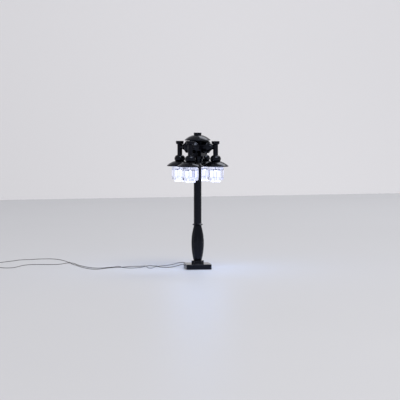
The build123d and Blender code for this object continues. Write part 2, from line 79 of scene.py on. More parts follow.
route_a = [
    (0.0003, 0.0079, LOW),
    (0.0003, 0.0112, LOW),
    (0.0001, 0.0168, LOW),
    (-0.0007, 0.024, LOW),
    (-0.001, 0.032, LOW),
    (-0.0025, 0.0386, LOW),
    (-0.0054, 0.0406, LOW),
    (-0.0082, 0.0366, LOW),
    (-0.0114, 0.0294, LOW),
    (-0.0148, 0.023, LOW),
    (-0.019, 0.0198, LOW),
    (-0.0226, 0.0174, LOW),
    (-0.0255, 0.0124, LOW),
    (-0.027, 0.0084, LOW),
    (-0.0279, 0.0049, LOW),
    (-0.0302, 0.0052, LOW),
    (-0.0304, 0.0094, LOW),
    (-0.0307, 0.0129, HIGH),
    (-0.0316, 0.0154, HIGH),
    (-0.0336, 0.018, LOW),
    (-0.0386, 0.0184, LOW),
    (-0.0434, 0.0162, LOW),
    (-0.0486, 0.0124, LOW),
    (-0.054, 0.0108, LOW),
    (-0.0588, 0.0058, LOW),
    (-0.063, 0.002, LOW),
    (-0.0666, 0.0044, LOW),
    (-0.0698, 0.012, LOW),
    (-0.0724, 0.022, LOW),
    (-0.0738, 0.0306, LOW),
    (-0.0758, 0.038, LOW),
    (-0.0763, 0.043, LOW),
    (-0.0768, 0.0458, HIGH),
    (-0.0771, 0.0482, HIGH),
    (-0.0776, 0.0516, LOW),
    (-0.0782, 0.0566, LOW),
    (-0.0798, 0.064, LOW),
    (-0.0824, 0.072, LOW),
    (-0.0872, 0.078, LOW),
    (-0.094, 0.0782, LOW),
    (-0.101, 0.0744, LOW),
    (-0.1074, 0.0738, LOW),
    (-0.1128, 0.0666, LOW),
    (-0.1194, 0.0586, LOW),
    (-0.1244, 0.0524, LOW),
    (-0.1264, 0.0474, LOW),
    (-0.1269, 0.0446, 0.0003),
    (-0.12685, 0.0425, FIRST_TURN),
]
tail_a = [
    (-0.13312, 0.0418, LAST_TURN),
    (-0.1333, 0.0444, 0.0011),
    (-0.1337, 0.0478, 0.00075),
    (-0.1337, 0.051, 0.00095),
]
route_b = [
    (-0.0003, 0.0079, LOW),
    (-0.0004, 0.011, LOW),
    (-0.0015, 0.0162, LOW),
    (-0.0021, 0.0224, LOW),
    (-0.0036, 0.0262, LOW),
    (-0.0062, 0.0268, LOW),
    (-0.0082, 0.0236, LOW),
    (-0.0104, 0.0176, LOW),
    (-0.0142, 0.011, LOW),
    (-0.0178, 0.008, LOW),
    (-0.0212, 0.0094, LOW),
    (-0.0229, 0.0116, LOW),
    (-0.0238, 0.0136, HIGH),
    (-0.0244, 0.0156, HIGH),
    (-0.0254, 0.0182, LOW),
    (-0.0272, 0.0212, LOW),
    (-0.0294, 0.0204, LOW),
    (-0.0313, 0.017, LOW),
    (-0.0328, 0.0126, LOW),
    (-0.0362, 0.0088, LOW),
    (-0.0406, 0.0068, LOW),
    (-0.0444, 0.0092, LOW),
    (-0.0462, 0.0118, LOW),
    (-0.0473, 0.0135, HIGH),
    (-0.0488, 0.0148, HIGH),
    (-0.0514, 0.0152, LOW),
    (-0.0552, 0.0132, LOW),
    (-0.06, 0.0098, LOW),
    (-0.0642, 0.0106, LOW),
    (-0.0676, 0.0164, LOW),
    (-0.0706, 0.0246, LOW),
    (-0.073, 0.0336, LOW),
    (-0.0738, 0.041, LOW),
    (-0.0748, 0.0458, LOW),
    (-0.0776, 0.0476, LOW),
    (-0.0804, 0.0448, LOW),
    (-0.0828, 0.0394, LOW),
    (-0.0872, 0.0366, LOW),
    (-0.0952, 0.0386, LOW),
    (-0.1026, 0.0396, LOW),
    (-0.1074, 0.0352, LOW),
    (-0.1104, 0.0274, LOW),
    (-0.1134, 0.0206, LOW),
    (-0.1176, 0.0182, LOW),
    (-0.122, 0.0214, LOW),
    (-0.1266, 0.0266, LOW),
    (-0.1308, 0.0314, LOW),
    (-0.1326, 0.035, LOW),
    (-0.1328, 0.0372, 0.0003),
    (-0.13275, 0.0387, FIRST_TURN),
]
tail_b = [
    (-0.13275, 0.0425, LAST_TURN),
    (-0.1325, 0.045, 0.0011),
    (-0.1326, 0.048, 0.00075),
    (-0.1327, 0.051, 0.00095),
]

def wound(turns_by_layer, angle):
    """One wire's turns, clockwise from above: the first layer runs inwards, the next back out."""
    # a quadratic spline passes this far inside its control points
    inside = (3 + math.cos(math.tau / COIL_POINTS)) / 4
    points = []
    radius = COIL_R
    for layer, turns in enumerate(turns_by_layer):
        step = COIL_PITCH / COIL_POINTS * (1 if layer % 2 else -1)
        for _ in range(round(turns * COIL_POINTS)):
            out = radius / inside
            x = COIL_AT.x + out * math.cos(angle)
            y = COIL_AT.y + out * math.sin(angle)
            points.append((x, y, FIRST_TURN + layer * TURN_RISE))
            radius += step
            angle -= math.tau / COIL_POINTS
    return points


def lay_wire(name, points):
    """A round wire along a smooth spline."""
    line = bpy.data.curves.new(name, "CURVE")
    line.dimensions = "3D"
    line.bevel_depth = WIRE_D / 2
    line.bevel_resolution = 3
    line.use_fill_caps = True
    spline = line.splines.new("NURBS")
    spline.points.add(len(points) - 1)
    for point, place in zip(spline.points, points):
        point.co = (*place, 1)
    spline.order_u = 3
    spline.use_endpoint_u = True
    spline.resolution_u = 8
    wire = bpy.data.objects.new(name, line)
    bpy.context.scene.collection.objects.link(wire)
    return wire


free_wire_a = lay_wire("free_wire_a", route_a + wound(TURNS_A, 0) + tail_a)
free_wire_b = lay_wire("free_wire_b", route_b + wound(TURNS_B, math.pi) + tail_b)


def linear(code):
    """An sRGB hex colour as the linear colour that a shader takes."""
    levels = [int(code[k : k + 2], 16) / 255 for k in (1, 3, 5)]
    return [v / 12.92 if v <= 0.04045 else ((v + 0.055) / 1.055) ** 2.4 for v in levels] + [1.0]


def add(tree, kind, settings=(), sockets=()):
    """Adds a node, gives it its settings, and sets or links its sockets."""
    node = tree.nodes.new(kind)
    for name, value in dict(settings).items():
        setattr(node, name, value)
    for name, value in dict(sockets).items():
        if isinstance(value, bpy.types.NodeSocket):
            tree.links.new(value, node.inputs[name])
        else:
            node.inputs[name].default_value = value
    return node


def start_material(name):
    """A material with nothing but an object-space place for its patterns."""
    material = bpy.data.materials.new(name)
    material.use_nodes = True
    tree = material.node_tree
    tree.nodes.clear()
    place = add(tree, "ShaderNodeTexCoord").outputs["Object"]
    return material, tree, place


# Enamelled copper: drawn wire under a baked varnish.  The eye gets a dark, slightly brown line with a small
# sharp glint, and tone that drifts every few millimetres where the varnish is thicker or thinner.
enamelled_copper, tree, place = start_material("enamelled_copper")
drift = add(tree, "ShaderNodeTexNoise", {}, {"Vector": place, "Scale": 1 / (7 * MM), "Detail": 3.0})
wave = add(tree, "ShaderNodeTexNoise", {}, {"Vector": place, "Scale": 1 / (0.4 * MM), "Detail": 1.0})
bump = add(tree, "ShaderNodeBump", {}, {
    "Height": wave.outputs["Fac"],
    "Strength": 0.15,
    "Distance": 0.02 * MM,
})
gloss = add(tree, "ShaderNodeMapRange", {}, {"Value": drift.outputs["Fac"], "To Min": 0.26, "To Max": 0.46})
tone = add(tree, "ShaderNodeMix", {"data_type": "RGBA"}, {
    0: drift.outputs["Fac"],
    6: linear("#080706"),
    7: linear("#15100c"),
})
shader = add(tree, "ShaderNodeBsdfPrincipled", {}, {
    "Base Color": tone.outputs[2],
    "Roughness": gloss.outputs["Result"],
    "Normal": bump.outputs["Normal"],
    "IOR": 1.6,
    "Coat Weight": 0.3,
    "Coat Roughness": 0.12,
})
add(tree, "ShaderNodeOutputMaterial", {}, {"Surface": shader.outputs["BSDF"]})

for wire, letter in ((free_wire_a, "a"), (free_wire_b, "b")):
    wire.data.materials.append(enamelled_copper)
    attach(wire, "post")
    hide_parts(f"lead_wire_{letter}", "wire_coil")
    nodes[f"trunk_wire_{letter}"].data.materials.clear()
    nodes[f"trunk_wire_{letter}"].data.materials.append(enamelled_copper)

# ---- Tie and plug ---------------------------------------------------------------------------------------
# A band of black heat-shrink holds the coil.  The wires end in a white nylon two-way plug with two tinned
# pins, crimped inside it; both ride with the post, because nothing on the table turns with the head.
PLUG_EDGE = 0.1 * MM
PIN_EDGE = 0.05 * MM
TIE_EDGE = 0.05 * MM
SHARP = math.radians(32)
FLAT = math.radians(0.5)
WELD = 0.002 * MM


def settle(piece):
    """Makes what the modifiers give the piece's own mesh, and takes them off."""
    graph = bpy.context.evaluated_depsgraph_get()
    shown = piece.evaluated_get(graph)
    made = bpy.data.meshes.new_from_object(shown, preserve_all_data_layers=True, depsgraph=graph)
    piece.modifiers.clear()
    piece.data = made
    return piece


def show(piece, body, slot, *stands_for):
    """Puts a finished piece on its body, in place of the CAD nodes that it stands for."""
    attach(piece, body)
    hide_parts(*stands_for)
    return piece


def moulded(node, name, edge, material):
    """A CAD solid as a clean mesh with every sharp edge rounded, as a mould leaves it."""
    mesh = nodes[node].data.copy()
    work = bmesh.new()
    work.from_mesh(mesh)
    bmesh.ops.remove_doubles(work, verts=work.verts, dist=WELD)
    bmesh.ops.dissolve_limit(work, angle_limit=FLAT, verts=work.verts, edges=work.edges)
    work.to_mesh(mesh)
    work.free()
    if "custom_normal" in mesh.attributes:
        mesh.attributes.remove(mesh.attributes["custom_normal"])
    mesh.materials.clear()
    mesh.materials.append(material)
    piece = bpy.data.objects.new(name, mesh)
    bpy.context.scene.collection.objects.link(piece)
    rounding = piece.modifiers.new("rounding", "BEVEL")
    rounding.width = edge
    rounding.segments = 3
    rounding.limit_method = "ANGLE"
    rounding.angle_limit = SHARP
    settle(piece)
    return smooth(piece)


def smooth(piece):
    """Smooth shading that keeps flat faces flat and sharp edges sharp."""
    piece.data.shade_smooth()
    piece.data.set_sharp_from_angle(angle=SHARP)
    weights = piece.modifiers.new("weights", "WEIGHTED_NORMAL")
    weights.keep_sharp = True
    return settle(piece)


# Heat-shrink polyolefin: matt, with the faint waviness that it keeps from being shrunk.
shrink_sleeve, tree, place = start_material("shrink_sleeve")
ripple = add(tree, "ShaderNodeTexNoise", {}, {"Vector": place, "Scale": 1 / (0.5 * MM), "Detail": 2.0})
bump = add(tree, "ShaderNodeBump", {}, {
    "Height": ripple.outputs["Fac"],
    "Strength": 0.4,
    "Distance": 0.05 * MM,
})
gloss = add(tree, "ShaderNodeMapRange", {}, {"Value": ripple.outputs["Fac"], "To Min": 0.45, "To Max": 0.7})
tone = add(tree, "ShaderNodeMix", {"data_type": "RGBA"}, {
    0: ripple.outputs["Fac"],
    6: linear("#121214"),
    7: linear("#1f1f22"),
})
shader = add(tree, "ShaderNodeBsdfPrincipled", {}, {
    "Base Color": tone.outputs[2],
    "Roughness": gloss.outputs["Result"],
    "Normal": bump.outputs["Normal"],
    "IOR": 1.5,
})
add(tree, "ShaderNodeOutputMaterial", {}, {"Surface": shader.outputs["BSDF"]})

# Nylon 66, moulded and slightly translucent: warm white, with a soft sheen and a fine spark-eroded grain.
white_nylon, tree, place = start_material("white_nylon")
grain = add(tree, "ShaderNodeTexNoise", {}, {"Vector": place, "Scale": 1 / (0.12 * MM), "Detail": 2.0})
cloud = add(tree, "ShaderNodeTexNoise", {}, {"Vector": place, "Scale": 1 / (1.5 * MM), "Detail": 2.0})
bump = add(tree, "ShaderNodeBump", {}, {
    "Height": grain.outputs["Fac"],
    "Strength": 0.2,
    "Distance": 0.015 * MM,
})
gloss = add(tree, "ShaderNodeMapRange", {}, {"Value": cloud.outputs["Fac"], "To Min": 0.36, "To Max": 0.5})
tone = add(tree, "ShaderNodeMix", {"data_type": "RGBA"}, {
    0: cloud.outputs["Fac"],
    6: linear("#dcd8cc"),
    7: linear("#ebe8de"),
})
shader = add(tree, "ShaderNodeBsdfPrincipled", {}, {
    "Base Color": tone.outputs[2],
    "Roughness": gloss.outputs["Result"],
    "Normal": bump.outputs["Normal"],
    "IOR": 1.53,
    "Subsurface Weight": 0.3,
    "Subsurface Radius": (0.6 * MM, 0.5 * MM, 0.4 * MM),
})
add(tree, "ShaderNodeOutputMaterial", {}, {"Surface": shader.outputs["BSDF"]})

# Tinned brass: stamped, then dipped in tin.  Silvery and soft-edged, with the long marks of the strip.
tinned_brass, tree, place = start_material("tinned_brass")
MARK_W = 0.05 * MM
MARK_L = 1.5 * MM
drawn = add(tree, "ShaderNodeMapping", {}, {"Vector": place, "Scale": (1 / MARK_W, 1 / MARK_L, 1 / MARK_W)})
marks = add(tree, "ShaderNodeTexNoise", {}, {
    "Vector": drawn.outputs["Vector"],
    "Scale": 1.0,
    "Detail": 2.0,
})
gloss = add(tree, "ShaderNodeMapRange", {}, {"Value": marks.outputs["Fac"], "To Min": 0.22, "To Max": 0.42})
tone = add(tree, "ShaderNodeMix", {"data_type": "RGBA"}, {
    0: marks.outputs["Fac"],
    6: linear("#b9b8b2"),
    7: linear("#d6d5d0"),
})
shader = add(tree, "ShaderNodeBsdfPrincipled", {}, {
    "Base Color": tone.outputs[2],
    "Metallic": 1.0,
    "Roughness": gloss.outputs["Result"],
})
add(tree, "ShaderNodeOutputMaterial", {}, {"Surface": shader.outputs["BSDF"]})

coil_band = moulded("coil_tie", "coil_band", TIE_EDGE, shrink_sleeve)
show(coil_band, "post", "tie_black", "coil_tie")
plug_body = moulded("plug_housing", "plug_body", PLUG_EDGE, white_nylon)
show(plug_body, "post", "plug_white", "plug_housing")
plug_contacts = moulded("plug_pins", "plug_contacts", PIN_EDGE, tinned_brass)
show(plug_contacts, "post", "pin_metal", "plug_pins")

# ---- Post -----------------------------------------------------------------------------------------------
# One injection moulding in gloss black ABS: hollow foot with a stud tube under it, six-lobed collar, fluted
# baluster, pointed ring, plain shaft and a stud on top.  The wires run up its bore.
AROUND = 192
FOOT_HALF = 7.9
FOOT_CORNER = 1.5
FOOT_TOP = 3.2
FOOT_EASE = 0.5
WALL = 1.5
FOOT_ROOM = 2.0
STUD_R = 2.4
STUD_H = 1.7
TUBE_R = 3.25
BORE_R = 0.9
COLLAR_R = 3.1
COLLAR_TOP = 5.1
LOBE_R = 1.05
LOBE_AT = 2.85
FLUTES = 6
FIRST_FLUTE = math.radians(30)
BARREL_FOOT_R = 2.5
BARREL_MID = (3.9, 16.2)
BARREL_HEAD_R = 2.35
FLUTE_R = 1.5
FLUTE_AT = 4.9
FLUTE_SWING = 83.0
FLUTE_REACH = 10.3
RING_LOW = 26.9
RING_HIGH = 28.3
RING_R = 3.25
RING_FLAT = 0.3
POST_TOP = 67.2
SEAT = 0.05
SEAT_R = 3.0
SEAT_H = 0.8
SHARP_EASE = 0.12
COLLAR_EASE = 0.25
ARRIS_EASE = 0.1
LEAST_CORNER = 0.4
SKIRT = 1.0
OVERLAP = 0.3
GENTLE = math.radians(14)
EASE_SHARE = 0.45
ARC_STEPS = 10
BARREL_STEPS = 24


def bow(start, end, radius, steps=ARC_STEPS):
    """An arc from start to end that bulges to its right, or to its left if the radius is below 0."""
    a = Vector(start)
    half = (Vector(end) - a) / 2
    right = Vector((half.y, -half.x)).normalized()
    depth = math.copysign(math.sqrt(radius**2 - half.length_squared), radius)
    centre = a + half - right * depth
    spread = math.copysign(2 * math.asin(half.length / abs(radius)), radius)
    arm = a - centre
    points = []
    for k in range(steps + 1):
        turn = spread * k / steps
        x = arm.x * math.cos(turn) - arm.y * math.sin(turn)
        y = arm.x * math.sin(turn) + arm.y * math.cos(turn)
        points.append((centre.x + x, centre.y + y))
    return points


def eased(outline, rounding, closed=False, steps=4):
    """An outline with its corners rounded, as far as the runs beside them allow."""
    made = []
    last = len(outline) - 1
    for k, corner in enumerate(outline):
        here = Vector(corner)
        run_in = here - Vector(outline[k - 1])
        run_out = Vector(outline[(k + 1) % len(outline)]) - here
        end = k in (0, last) and not closed
        if end or run_in.angle(run_out, 0) < GENTLE:
            made.append(tuple(here))
            continue
        back = rounding * math.tan(run_in.angle(run_out) / 2)
        start = here - run_in.normalized() * min(back, EASE_SHARE * run_in.length)
        stop = here + run_out.normalized() * min(back, EASE_SHARE * run_out.length)
        for j in range(steps + 1):
            t = j / steps
            made.append(tuple(start * (1 - t) ** 2 + here * (2 * t * (1 - t)) + stop * t**2))
    return made


def skinned(name, rings, closed=False):
    """A mesh through rings of points, with a UV map: across is round it and up is along the outline."""
    work = bmesh.new()
    uv = work.loops.layers.uv.new("skin")
    rows = [[work.verts.new(Vector(point) * MM) for point in ring] for ring in rings]
    pairs = list(zip(rows, rows[1:] + rows[:1]))
    if not closed:
        pairs.pop()
    for i, (low, high) in enumerate(pairs):
        around = max(len(low), len(high))
        for k in range(around):
            corners = {}
            for row, across, up in ((low, k, i), (low, k + 1, i), (high, k + 1, i + 1), (high, k, i + 1)):
                corners.setdefault(row[across % len(row)], (across / around, up / len(pairs)))
            if len(corners) < 3:
                continue
            face = work.faces.new(list(corners))
            for loop, where in zip(face.loops, corners.values()):
                loop[uv].uv = where
    mesh = bpy.data.meshes.new(name)
    work.to_mesh(mesh)
    work.free()
    piece = bpy.data.objects.new(name, mesh)
    bpy.context.scene.collection.objects.link(piece)
    return piece


def nearest(angle, count):
    """The angle from the nearest of several marks spaced evenly round the axis, one of them at 0."""
    pitch = math.tau / count
    return angle - pitch * round(angle / pitch)


def square_reach(half, corner, angle):
    """How far out a square with rounded corners is, at an angle."""
    turn = abs(nearest(angle, 4))
    long, short = math.cos(turn), math.sin(turn)
    if half * short / long <= half - corner:
        return half / long
    along = (half - corner) * (long + short)
    return along + math.sqrt(corner**2 - 2 * (half - corner) ** 2 + along**2)


def collar_reach(angle):
    """How far out the six-lobed collar is, at an angle."""
    turn = nearest(angle, FLUTES)
    rest = LOBE_R**2 - (LOBE_AT * math.sin(turn)) ** 2
    if rest < 0:
        return COLLAR_R
    return max(COLLAR_R, LOBE_AT * math.cos(turn) + math.sqrt(rest))


def post_point(radius, height, angle):
    """A point of the post's skin: its outline's radius, carried out to the square foot or the lobes."""
    if height <= FOOT_TOP and radius > TUBE_R + SHARP_EASE:
        radius = square_reach(radius, max(FOOT_CORNER - (FOOT_HALF - radius), LEAST_CORNER), angle)
    elif FOOT_TOP <= height <= COLLAR_TOP and radius > BARREL_FOOT_R:
        share = min(1, (radius - BARREL_FOOT_R) / (COLLAR_R - BARREL_FOOT_R - OVERLAP))
        radius += (collar_reach(angle) - COLLAR_R) * share
    return radius * math.cos(angle), radius * math.sin(angle), height


under = eased([
    (BORE_R, FOOT_ROOM),
    (STUD_R, FOOT_ROOM),
    (STUD_R, 0),
    (TUBE_R, 0),
    (TUBE_R, FOOT_ROOM),
    (FOOT_HALF - WALL, FOOT_ROOM),
    (FOOT_HALF - WALL, 0),
    (FOOT_HALF, 0),
    (FOOT_HALF, SKIRT),
], SHARP_EASE)
outside = eased([(FOOT_HALF, SKIRT), (FOOT_HALF, FOOT_TOP), (COLLAR_R + 1, FOOT_TOP)], FOOT_EASE, steps=8)
collar = eased([
    (COLLAR_R + 0.5, FOOT_TOP),
    (COLLAR_R, FOOT_TOP),
    (COLLAR_R, COLLAR_TOP),
    (BARREL_FOOT_R, COLLAR_TOP),
], COLLAR_EASE)
mid_r, mid_z = BARREL_MID
rise = mid_z - COLLAR_TOP
low_bow = (rise**2 + (mid_r - BARREL_FOOT_R) ** 2) / (2 * (mid_r - BARREL_FOOT_R))
fall = RING_LOW - mid_z
high_bow = (fall**2 + (mid_r - BARREL_HEAD_R) ** 2) / (2 * (mid_r - BARREL_HEAD_R))
barrel = bow((BARREL_FOOT_R, COLLAR_TOP), BARREL_MID, low_bow, BARREL_STEPS)
barrel += bow(BARREL_MID, (BARREL_HEAD_R, RING_LOW), high_bow, BARREL_STEPS)[1:]
ring_mid = (RING_LOW + RING_HIGH) / 2
shaft = eased([
    (BARREL_HEAD_R, RING_LOW),
    (RING_R, ring_mid - RING_FLAT / 2),
    (RING_R, ring_mid + RING_FLAT / 2),
    (STUD_R, RING_HIGH),
    (STUD_R, POST_TOP - 2 * SEAT_H),
    (SEAT_R, POST_TOP - SEAT_H),
    (SEAT_R, POST_TOP - SEAT),
    (STUD_R, POST_TOP - SEAT),
    (STUD_R, POST_TOP + STUD_H),
    (BORE_R, POST_TOP + STUD_H),
    (BORE_R, FOOT_ROOM + 1),
], SHARP_EASE)
outline = under + outside[1:] + collar + barrel[1:] + shaft[1:]
angles = [math.tau * k / AROUND for k in range(AROUND)]
post_skin = skinned("post_column", [[post_point(r, z, a) for a in angles] for r, z in outline], closed=True)

# Gloss black ABS: carbon-black pigment, injected into a polished steel mould.  The eye gets near-black with
# clear reflections, the slow waviness of a moulded skin, and hairline rubs in the gloss.  The IOR (below
# ABS's usual 1.54) and the cool specular tint are set to look like the real one, not measured.
gloss_black_abs, tree, place = start_material("gloss_black_abs")
skin_wave = add(tree, "ShaderNodeTexNoise", {}, {"Vector": place, "Scale": 1 / (2.2 * MM), "Detail": 1.5})
rubs = add(tree, "ShaderNodeTexNoise", {}, {
    "Vector": place,
    "Scale": 1 / (0.35 * MM),
    "Detail": 5.0,
    "Distortion": 1.2,
})
dust = add(tree, "ShaderNodeTexVoronoi", {}, {"Vector": place, "Scale": 1 / (1.3 * MM)})
speck = add(tree, "ShaderNodeMapRange", {}, {
    "Value": dust.outputs["Distance"],
    "From Min": 0.05,
    "From Max": 0.09,
    "To Min": 0.3,
    "To Max": 0.0,
})
gloss = add(tree, "ShaderNodeMapRange", {}, {
    "Value": rubs.outputs["Fac"],
    "From Min": 0.35,
    "From Max": 0.75,
    "To Min": 0.1,
    "To Max": 0.24,
})
rough = add(tree, "ShaderNodeMath", {"operation": "ADD"}, {
    0: gloss.outputs["Result"],
    1: speck.outputs["Result"],
})
slow = add(tree, "ShaderNodeBump", {}, {
    "Height": skin_wave.outputs["Fac"],
    "Strength": 0.2,
    "Distance": 0.05 * MM,
})
fine = add(tree, "ShaderNodeBump", {}, {
    "Height": rubs.outputs["Fac"],
    "Strength": 0.12,
    "Distance": 0.01 * MM,
    "Normal": slow.outputs["Normal"],
})
tone = add(tree, "ShaderNodeMix", {"data_type": "RGBA"}, {
    0: skin_wave.outputs["Fac"],
    6: linear("#030305"),
    7: linear("#0a0a0d"),
})
shader = add(tree, "ShaderNodeBsdfPrincipled", {}, {
    "Base Color": tone.outputs[2],
    "Roughness": rough.outputs["Value"],
    "Normal": fine.outputs["Normal"],
    "IOR": 1.36,
    "Specular Tint": linear("#d2deff"),
})
add(tree, "ShaderNodeOutputMaterial", {}, {"Surface": shader.outputs["BSDF"]})

# The six flutes, between the collar's lobes, follow one rule: a round cutter swings past the barrel on a
# long radius, so each is deepest at the middle and dies out before the ends.  The arrises are soft.
flute_tree = bpy.data.node_groups.new("barrel_flutes", "GeometryNodeTree")
sizes = (
    ("Flutes", "NodeSocketInt", FLUTES),
    ("First flute", "NodeSocketFloat", FIRST_FLUTE),
    ("Cutter radius", "NodeSocketFloat", FLUTE_R * MM),
    ("Cutter distance", "NodeSocketFloat", FLUTE_AT * MM),
    ("Swing radius", "NodeSocketFloat", FLUTE_SWING * MM),
    ("Middle height", "NodeSocketFloat", BARREL_MID[1] * MM),
    ("Reach", "NodeSocketFloat", FLUTE_REACH * MM),
    ("Soft edge", "NodeSocketFloat", ARRIS_EASE * MM),
    ("Material", "NodeSocketMaterial", gloss_black_abs),
)
flute_tree.interface.new_socket("Geometry", in_out="INPUT", socket_type="NodeSocketGeometry")
flute_sockets = {}
for name, kind, value in sizes:
    flute_sockets[name] = flute_tree.interface.new_socket(name, in_out="INPUT", socket_type=kind).identifier
flute_tree.interface.new_socket("Geometry", in_out="OUTPUT", socket_type="NodeSocketGeometry")


given = add(flute_tree, "NodeGroupInput").outputs
spot = add(flute_tree, "GeometryNodeInputPosition").outputs["Position"]
parts = add(flute_tree, "ShaderNodeSeparateXYZ", {}, {"Vector": spot}).outputs
terms = {socket.name: socket for socket in (*given, *parts)}
steps = (
    ("x squared", "MULTIPLY", "X", "X"),
    ("y squared", "MULTIPLY", "Y", "Y"),
    ("out squared", "ADD", "x squared", "y squared"),
    ("out", "SQRT", "out squared"),
    ("half pitch", "DIVIDE", math.pi, "Flutes"),
    ("minus half pitch", "MULTIPLY", "half pitch", -1.0),
    ("turn", "ARCTAN2", "Y", "X"),
    ("turn past the first", "SUBTRACT", "turn", "First flute"),
    ("turn past the nearest", "WRAP", "turn past the first", "half pitch", "minus half pitch"),
    ("sine", "SINE", "turn past the nearest"),
    ("cosine", "COSINE", "turn past the nearest"),
    ("level", "SUBTRACT", "Z", "Middle height"),
    ("level squared", "MULTIPLY", "level", "level"),
    ("swing squared", "MULTIPLY", "Swing radius", "Swing radius"),
    ("chord squared", "SUBTRACT", "swing squared", "level squared"),
    ("chord", "SQRT", "chord squared"),
    ("swing centre", "SUBTRACT", "Cutter distance", "Swing radius"),
    ("cutter centre", "ADD", "swing centre", "chord"),
    ("across", "MULTIPLY", "cutter centre", "sine"),
    ("along", "MULTIPLY", "cutter centre", "cosine"),
    ("across squared", "MULTIPLY", "across", "across"),
    ("cutter squared", "MULTIPLY", "Cutter radius", "Cutter radius"),
    ("bite squared", "SUBTRACT", "cutter squared", "across squared"),
    ("bite squared or none", "MAXIMUM", "bite squared", 0.0),
    ("bite", "SQRT", "bite squared or none"),
    ("cut", "SUBTRACT", "along", "bite"),
    ("kept", "SMOOTH_MIN", "out", "cut", "Soft edge"),
    ("scale", "DIVIDE", "kept", "out"),
    ("new x", "MULTIPLY", "X", "scale"),
    ("new y", "MULTIPLY", "Y", "scale"),
    ("distance from middle", "ABSOLUTE", "level"),
    ("inside", "LESS_THAN", "distance from middle", "Reach"),
)
for name, operation, *values in steps:
    sockets = {k: terms.get(value, value) for k, value in enumerate(values)}
    terms[name] = add(flute_tree, "ShaderNodeMath", {"operation": operation}, sockets).outputs["Value"]
moved = add(flute_tree, "ShaderNodeCombineXYZ", {}, {
    "X": terms["new x"],
    "Y": terms["new y"],
    "Z": terms["Z"],
})
shaped = add(flute_tree, "GeometryNodeSetPosition", {}, {
    "Geometry": given["Geometry"],
    "Selection": terms["inside"],
    "Position": moved.outputs["Vector"],
})
whole = add(flute_tree, "GeometryNodeRealizeInstances", {}, {"Geometry": shaped.outputs["Geometry"]})
coated = add(flute_tree, "GeometryNodeSetMaterial", {}, {
    "Geometry": whole.outputs["Geometry"],
    "Material": given["Material"],
})
add(flute_tree, "NodeGroupOutput", {}, {"Geometry": coated.outputs["Geometry"]})

flutes = post_skin.modifiers.new("flutes", "NODES")
flutes.node_group = flute_tree
for name, kind, value in sizes:
    flutes[flute_sockets[name]] = value
settle(post_skin)

# the notch in the rear wall, where the wires come out
NOTCH_W = 1.3
NOTCH_H = 0.8
NOTCH_FROM = 2.0


def block(name, low, high):
    """A plain block, used only as a cutter."""
    x0, y0, z0 = low
    x1, y1, z1 = high
    return skinned(name, [
        [((x0 + x1) / 2, (y0 + y1) / 2, z0)],
        [(x0, y0, z0), (x1, y0, z0), (x1, y1, z0), (x0, y1, z0)],
        [(x0, y0, z1), (x1, y0, z1), (x1, y1, z1), (x0, y1, z1)],
        [((x0 + x1) / 2, (y0 + y1) / 2, z1)],
    ])


def joined(piece, other, operation):
    """Unites a piece with another solid, or cuts that solid out of it."""
    step = piece.modifiers.new("join", "BOOLEAN")
    step.operation = operation
    step.solver = "EXACT"
    step.object = other
    settle(piece)
    bpy.data.objects.remove(other)
    return piece


notch = block("notch", (-NOTCH_W / 2, NOTCH_FROM, -1), (NOTCH_W / 2, FOOT_HALF + 1, NOTCH_H))
joined(post_skin, notch, "DIFFERENCE")
show(smooth(post_skin), "post", "gloss_black_abs", "lamp_post")

# ---- Spacer plate ---------------------------------------------------------------------------------------
# A round one-stud plate between post and head: stepped neck, socket below, stud above and a wire hole.  It
# sits dry on the post's stud, and the head turns there.
SOCKET_R = 2.45
SOCKET_H = 1.75
PLATE = 3.2
NECK_R = 3.2
NECK_H = 1.3
PLATE_R = 3.95
ROUND_STEPS = 128


def turned(name, outline, closed=False, steps=ROUND_STEPS):
    """A shape turned about the upright axis; the outline runs with the solid on its left."""
    rings = []
    for radius, height in outline:
        count = steps if radius else 1
        turns = [math.tau * k / count for k in range(count)]
        rings.append([(radius * math.cos(a), radius * math.sin(a), height) for a in turns])
    return skinned(name, rings, closed)


def finished(piece, material):
    """Gives a piece its material, and then its shading."""
    piece.data.materials.clear()
    piece.data.materials.append(material)
    return smooth(piece)


hub_foot = POST_TOP + PLATE
spacer = turned("spacer_ring", eased([
    (BORE_R, POST_TOP + SOCKET_H),
    (SOCKET_R, POST_TOP + SOCKET_H),
    (SOCKET_R, POST_TOP),
    (NECK_R, POST_TOP),
    (NECK_R, POST_TOP + NECK_H),
    (PLATE_R, POST_TOP + NECK_H),
    (PLATE_R, hub_foot),
    (STUD_R, hub_foot),
    (STUD_R, hub_foot + STUD_H),
    (BORE_R, hub_foot + STUD_H),
], SHARP_EASE, closed=True), closed=True)
show(finished(spacer, gloss_black_abs), "head", "gloss_black_abs", "spacer_plate")

# ---- Head block -----------------------------------------------------------------------------------------
# A one-stud block with a further stud on each side, turned 30 degrees from the foot.  Inside it the two
# trunk wires are soldered to the four pairs of lamp leads, each joint under its own piece of sleeving.
HEAD_TURN = math.radians(-30)
MOULD_EDGE = 0.12 * MM

head_block = moulded("hub_block", "head_block", MOULD_EDGE, gloss_black_abs)
show(head_block, "head", "gloss_black_abs", "hub_block")
for letter in "ab":
    show(
        moulded(f"splice_sleeve_{letter}", f"solder_sleeve_{letter}", TIE_EDGE, shrink_sleeve),
        "head", "sleeve_black", f"splice_sleeve_{letter}",
    )
for name, node in nodes.items():
    if "_leads" in name:
        node.data.materials.clear()
        node.data.materials.append(enamelled_copper)

